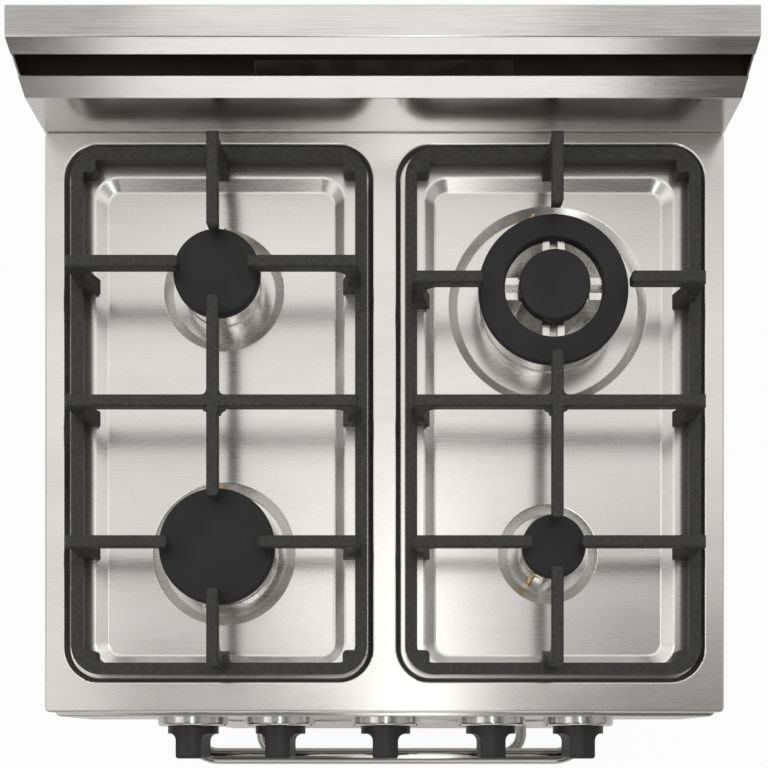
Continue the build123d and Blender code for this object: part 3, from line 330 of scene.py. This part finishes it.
screwLook = {"radius": 0.0036, "height": 0.0020, "edge": 0.0006, "edgeSteps": 3, "sides": 28,
             "slotLength": 0.0044, "slotWidth": 0.0009, "slotDepth": 0.0011,
             "nextTurn": 0.4, "smoothBelow": 35}


def crossScrew(spin):
    # A pan head with a cross recess, standing at the origin
    look = screwLook
    bpy.ops.object.select_all(action="DESELECT")
    bpy.ops.mesh.primitive_cylinder_add(vertices=look["sides"], radius=look["radius"], depth=look["height"],
                                        location=(0, 0, look["height"] / 2))
    head = bpy.context.object
    bpy.ops.object.transform_apply(location=True)
    rim = head.modifiers.new("rim", "BEVEL")
    rim.width = look["edge"]
    rim.segments = look["edgeSteps"]
    rim.limit_method = "ANGLE"
    bpy.ops.object.modifier_apply(modifier="rim")
    for turn in (spin, spin + pi / 2):
        bpy.ops.mesh.primitive_cube_add(size=1, location=(0, 0, look["height"]), rotation=(0, 0, turn),
                                        scale=(look["slotLength"], look["slotWidth"], 2 * look["slotDepth"]))
        cutter = bpy.context.object
        slot = head.modifiers.new("slot", "BOOLEAN")
        slot.object = cutter
        bpy.context.view_layer.objects.active = head
        bpy.ops.object.modifier_apply(modifier="slot")
        bpy.data.objects.remove(cutter)
    return head


def setOfScrews(name, body, places, tilt):
    # One piece of screw heads, each turned a little further than the last
    heads = []
    for place in places:
        head = crossScrew(screwLook["nextTurn"] * len(heads))
        head.location = place
        head.rotation_euler = (tilt, 0, 0)
        heads.append(head)
    bpy.ops.object.select_all(action="DESELECT")
    for head in heads:
        head.select_set(True)
    bpy.context.view_layer.objects.active = heads[0]
    bpy.ops.object.join()
    bpy.ops.object.transform_apply(location=True, rotation=True, scale=True)
    bpy.ops.object.shade_smooth_by_angle(angle=radians(screwLook["smoothBelow"]))
    piece = bpy.context.object
    piece.name = name
    piece.data.materials.append(finishes["spindle"])
    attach(piece, body)


rearRows = {"inset": 0.010, "underCover": 0.012, "rows": 5, "thirds": 3}


def rearPanelScrews():
    # A column down each edge, and two more screws in the top row and the bottom row
    low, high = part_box("rear_panel")
    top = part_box("backguard_cover")[0].z - rearRows["underCover"]
    foot = low.z + rearRows["inset"]
    left = low.x + rearRows["inset"]
    right = high.x - rearRows["inset"]
    places = []
    for step in range(rearRows["rows"]):
        z = foot + (top - foot) * step / (rearRows["rows"] - 1)
        places += [(left, high.y, z), (right, high.y, z)]
    for x in (low.x / rearRows["thirds"], high.x / rearRows["thirds"]):
        places += [(x, high.y, foot), (x, high.y, top)]
    setOfScrews("rearPanelScrews", "range_body", places, -pi / 2)


doorRows = {"inset": 0.012, "topShare": 0.8, "footShare": 0.5}


def doorScrews():
    # One at the middle of each side, three along the top and three along the foot
    low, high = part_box("door_inner_panel")
    inset = doorRows["inset"]
    middle = (low.z + high.z) / 2
    places = [(low.x + inset, high.y, middle), (high.x - inset, high.y, middle)]
    for x in (low.x * doorRows["topShare"], 0, high.x * doorRows["topShare"]):
        places.append((x, high.y, high.z - inset))
    for x in (low.x * doorRows["footShare"], 0, high.x * doorRows["footShare"]):
        places.append((x, high.y, low.z + inset))
    setOfScrews("doorScrews", "oven_door", places, -pi / 2)


frameRows = {"inset": 0.018, "heights": (0.30, 0.70, 0.93)}


def frontFrameScrews():
    # Beside the oven's mouth, at shares of the frame's height
    low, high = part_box("oven_front_frame")
    inset = frameRows["inset"]
    places = []
    for height in frameRows["heights"]:
        z = low.z + (high.z - low.z) * height
        places += [(low.x + inset, low.y, z), (high.x - inset, low.y, z)]
    setOfScrews("frontFrameScrews", "range_body", places, pi / 2)


rearPanelScrews()
doorScrews()
frontFrameScrews()
print("screws made")


# Studio: white floor, white surround, eight softboxes and a camera that looks straight down

# Tones are what a mirror shows, each after the height of its direction, from 0 level to 1 straight up
studio = {
    "floorSize": 14.0, "floorColor": (0.86, 0.86, 0.86, 1), "floorRoughness": 0.9, "floorGlow": 0.94,
    "backdrop": 0.98, "worldLight": 0.60,
    "sideTones": ((0, 0.34), (0.45, 0.46), (0.75, 0.46), (0.92, 0.17)),
    "frontTones": ((0, 0.08), (0.26, 0.10), (0.42, 0.50), (0.54, 0.60), (0.68, 0.10), (0.85, 0.08),
                   (0.97, 0.25)),
    "rearTones": ((0, 0.50), (0.3, 0.75), (0.6, 0.85), (0.85, 0.25)),
    "frontEdge": (-0.5, -0.1), "rearEdge": (0.5, 0.15),
}
softboxes = {
    "rearBox": {"place": (0, 0.62, 2.4), "size": (2.6, 1.05), "glow": 0.70},  # wells and rims
    "backBox": {"place": (-0.10, 1.65, 2.4), "size": (1.08, 1.0), "glow": 0.48},  # top of the backguard
    "leftBox": {"place": (-1.30, -0.55, 2.4), "size": (1.15, 1.3), "glow": 0.72},  # left rim
    "nearBox": {"place": (-0.08, -0.08, 2.5), "size": (1.26, 0.36), "glow": 0.30},  # front of the wells
    "middleBox": {"place": (0.065, -0.65, 2.3), "size": (0.2, 1.9), "glow": 1.3},  # bright middle of the rim
    "streakBox": {"place": (-0.19, 0.03, 2.2), "size": (0.26, 0.28), "glow": 0.9},  # left well's front
    "stripBox": {"place": (0.02, -0.62, 2.25), "size": (0.30, 0.7), "glow": 1.2},  # backguard's foot
    "frontBox": {"place": (-0.14, -4.0, 1.45), "size": (2.6, 0.9), "glow": 1.65, "tilt": pi / 2},  # its lip
}


def toneRamp(tree, value, tones):
    ramp = tree.nodes.new("ShaderNodeValToRGB")
    stops = ramp.color_ramp.elements
    while len(stops) < len(tones):
        stops.new(1.0)
    for stop, (height, tone) in zip(stops, tones):
        stop.position = height
        stop.color = (tone, tone, tone, 1)
    tree.links.new(value, ramp.inputs["Fac"])
    return ramp.outputs["Color"]


def whiteSurround():
    # White to the eye and through panes, but in mirrors it has the studio's own tones at the sides, in front
    # and behind. In a Mix node, sockets 6 and 7 take the colours and output 2 gives their blend.
    world = bpy.data.worlds.new("whiteSurround")
    world.use_nodes = True
    tree = world.node_tree
    path = tree.nodes.new("ShaderNodeLightPath")
    place = tree.nodes.new("ShaderNodeTexCoord")
    split = tree.nodes.new("ShaderNodeSeparateXYZ")
    tree.links.new(place.outputs["Generated"], split.inputs[0])
    light = tree.nodes["Background"]
    light.inputs["Color"].default_value = (1, 1, 1, 1)
    light.inputs["Strength"].default_value = studio["worldLight"]
    mirror = tree.nodes.new("ShaderNodeBackground")
    glow = toneRamp(tree, split.outputs["Z"], studio["sideTones"])
    for tones, edge in (("frontTones", "frontEdge"), ("rearTones", "rearEdge")):
        blend = tree.nodes.new("ShaderNodeMix")
        blend.data_type = "RGBA"
        tree.links.new(spread(tree, split.outputs["Y"], 1.0, 0.0, *studio[edge]), blend.inputs[0])
        tree.links.new(glow, blend.inputs[6])
        tree.links.new(toneRamp(tree, split.outputs["Z"], studio[tones]), blend.inputs[7])
        glow = blend.outputs[2]
    tree.links.new(glow, mirror.inputs["Color"])
    seen = tree.nodes.new("ShaderNodeBackground")
    seen.inputs["Color"].default_value = (1, 1, 1, 1)
    seen.inputs["Strength"].default_value = studio["backdrop"]
    surface = light.outputs[0]
    for ray, shade in (("Is Glossy Ray", mirror), ("Is Transmission Ray", seen), ("Is Camera Ray", seen)):
        mix = tree.nodes.new("ShaderNodeMixShader")
        tree.links.new(path.outputs[ray], mix.inputs[0])
        tree.links.new(surface, mix.inputs[1])
        tree.links.new(shade.outputs[0], mix.inputs[2])
        surface = mix.outputs[0]
    tree.links.new(surface, tree.nodes["World Output"].inputs["Surface"])
    bpy.context.scene.world = world


def paleFloor():
    # White to the eye and through panes, and a plain lit floor in mirrors
    bpy.ops.object.select_all(action="DESELECT")
    bpy.ops.mesh.primitive_plane_add(size=studio["floorSize"], location=(0, 0, 0))
    floor = bpy.context.object
    floor.name = "studioFloor"
    made, tree, shader = newFinish("floorWhite")
    shader.inputs["Base Color"].default_value = studio["floorColor"]
    shader.inputs["Roughness"].default_value = studio["floorRoughness"]
    path = tree.nodes.new("ShaderNodeLightPath")
    seen = tree.nodes.new("ShaderNodeMath")
    seen.operation = "MAXIMUM"
    tree.links.new(path.outputs["Is Camera Ray"], seen.inputs[0])
    tree.links.new(path.outputs["Is Transmission Ray"], seen.inputs[1])
    share = tree.nodes.new("ShaderNodeMath")
    share.operation = "MULTIPLY"
    share.inputs[1].default_value = studio["floorGlow"]
    tree.links.new(seen.outputs[0], share.inputs[0])
    glow = tree.nodes.new("ShaderNodeEmission")
    mix = tree.nodes.new("ShaderNodeMixShader")
    tree.links.new(share.outputs[0], mix.inputs[0])
    tree.links.new(shader.outputs[0], mix.inputs[1])
    tree.links.new(glow.outputs[0], mix.inputs[2])
    tree.links.new(mix.outputs[0], tree.nodes["Material Output"].inputs["Surface"])
    floor.data.materials.append(made)


def softbox(name, look):
    # A flat lamp whose power follows from how bright its face looks in a mirror
    lamp = bpy.data.lights.new(name, "AREA")
    lamp.shape = "RECTANGLE"
    lamp.size, lamp.size_y = look["size"]
    lamp.energy = look["glow"] * pi * lamp.size * lamp.size_y
    holder = bpy.data.objects.new(name, lamp)
    bpy.context.scene.collection.objects.link(holder)
    holder.location = look["place"]
    holder.rotation_euler = (look.get("tilt", 0), 0, 0)
    holder.visible_camera = False


view = {"pixels": 768.0, "footPixel": (400.5, 749.0), "focalPixels": 856.8, "sensor": 36.0,
        "sideways": 0.0141, "beforeEdge": 0.0326, "aboveRim": 0.756}


def photoCamera():
    # The photograph looks straight down from just before the front edge, so its picture is shifted up
    low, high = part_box("hob_top")
    camera = bpy.data.cameras.new("photoCamera")
    camera.sensor_width = view["sensor"]
    camera.lens = view["sensor"] * view["focalPixels"] / view["pixels"]
    camera.shift_x = (view["pixels"] / 2 - view["footPixel"][0]) / view["pixels"]
    camera.shift_y = (view["footPixel"][1] - view["pixels"] / 2) / view["pixels"]
    holder = bpy.data.objects.new("photoCamera", camera)
    bpy.context.scene.collection.objects.link(holder)
    holder.location = (view["sideways"], low.y - view["beforeEdge"], high.z + view["aboveRim"])
    bpy.context.scene.camera = holder


whiteSurround()
paleFloor()
for name, look in softboxes.items():
    softbox(name, look)
photoCamera()
bpy.context.scene.view_settings.view_transform = "Standard"
print("studio and camera ready")
